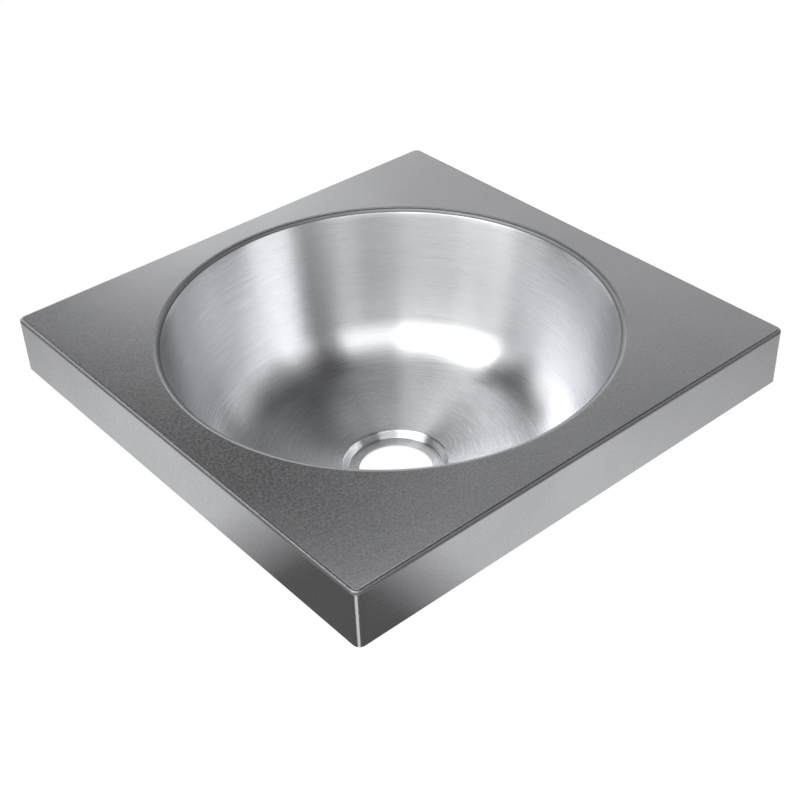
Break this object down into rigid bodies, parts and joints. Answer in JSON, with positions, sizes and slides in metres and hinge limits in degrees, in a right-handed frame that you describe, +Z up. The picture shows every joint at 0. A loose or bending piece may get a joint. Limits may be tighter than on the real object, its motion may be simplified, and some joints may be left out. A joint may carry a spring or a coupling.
{
  "type": "wall-hung washbasin",
  "caption": "Square stainless-steel wall-hung washbasin: folded deck with aprons, round welded bowl with a stepped waste seat, on a folded wall bracket.",
  "frame": {"origin": "centre of the bracket's four wall holes, on the wall plane", "axes": "+Z up, +Y into the wall, the basin stands out towards -Y, +X to the right seen from the front"},
  "size_m": [0.37, 0.37, 0.1301],
  "materials": {
    "deck_steel": "satin, fine grain",
    "bowl_steel": "satin, brushed in circles",
    "bracket_steel": "cold-rolled mill finish",
    "fastener_steel": "bright stainless",
    "bearing_rubber": "matt black",
    "sound_rubber": "matt dark grey",
    "earth_brass": "plain turned brass"
  },
  "bodies": {
    "root": {"bowl": "bowl_steel", "deck": "deck_steel", "earth_nut": "earth_brass", "earth_screw": "earth_brass", "earth_tag": "bracket_steel", "earth_washers": "earth_brass", "left_bearing_pad": "bearing_rubber", "left_mount_rail": "bracket_steel", "left_sound_pad": "sound_rubber", "locking_flat_washers": "fastener_steel", "locking_screws": "fastener_steel", "locking_spring_washers": "fastener_steel", "rail_weld_nuts": "fastener_steel", "right_bearing_pad": "bearing_rubber", "right_mount_rail": "bracket_steel", "right_sound_pad": "sound_rubber", "wall_bracket": "bracket_steel"}
  },
  "joints": []
}
